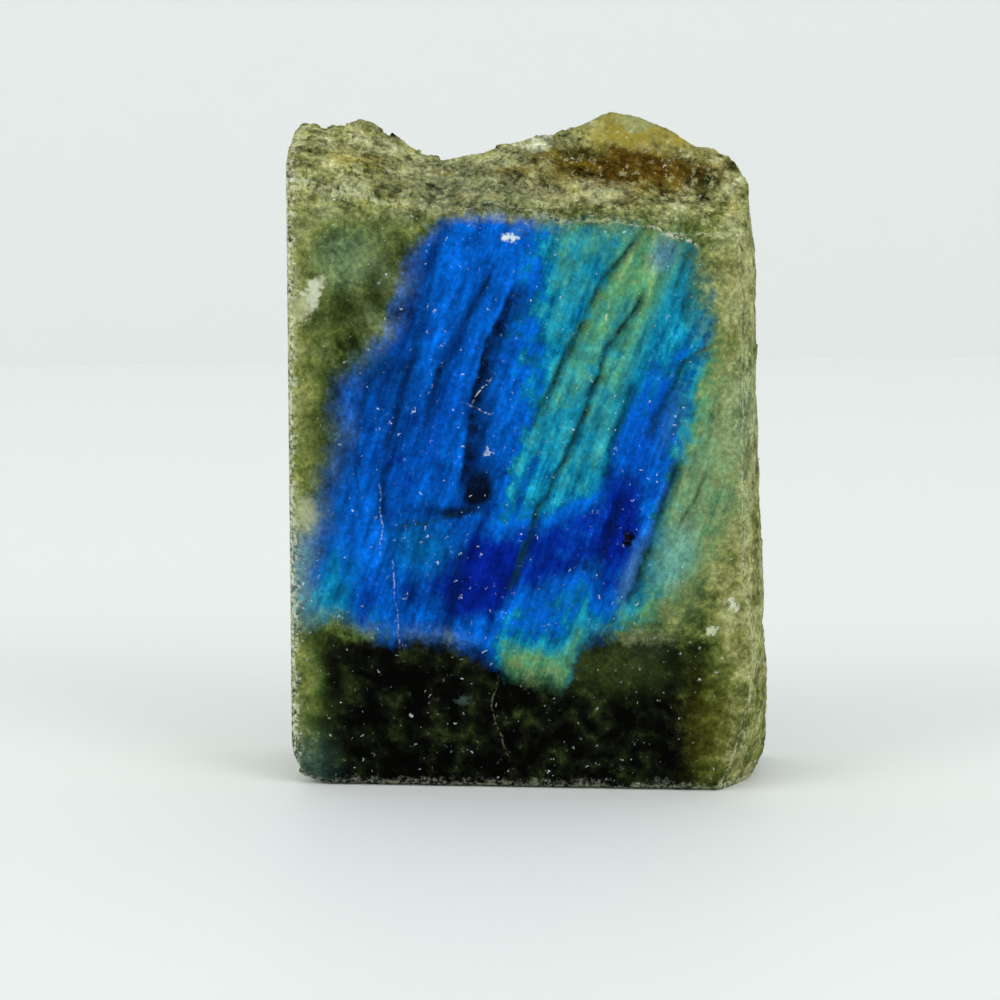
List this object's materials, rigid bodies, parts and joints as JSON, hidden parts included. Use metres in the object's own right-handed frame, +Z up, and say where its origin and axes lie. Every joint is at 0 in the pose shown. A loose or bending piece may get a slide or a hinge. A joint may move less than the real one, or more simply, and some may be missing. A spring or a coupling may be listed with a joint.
{
  "type": "labradorite slab",
  "caption": "Freestanding upright labradorite slab: sawn flat base, polished flashing face, natural broken top and right side.",
  "frame": {"origin": "on the table, under the middle of the slab's bounding box", "axes": "+Z up, from the sawn base to the broken top; -Y out of the polished face; +X to the right of someone looking at that face"},
  "size_m": [0.0514, 0.018, 0.0722],
  "materials": {
    "labradorite": "polished face with blue and green flash, rough break on top and right"
  },
  "bodies": {
    "root": {"slab": "labradorite"}
  },
  "joints": []
}
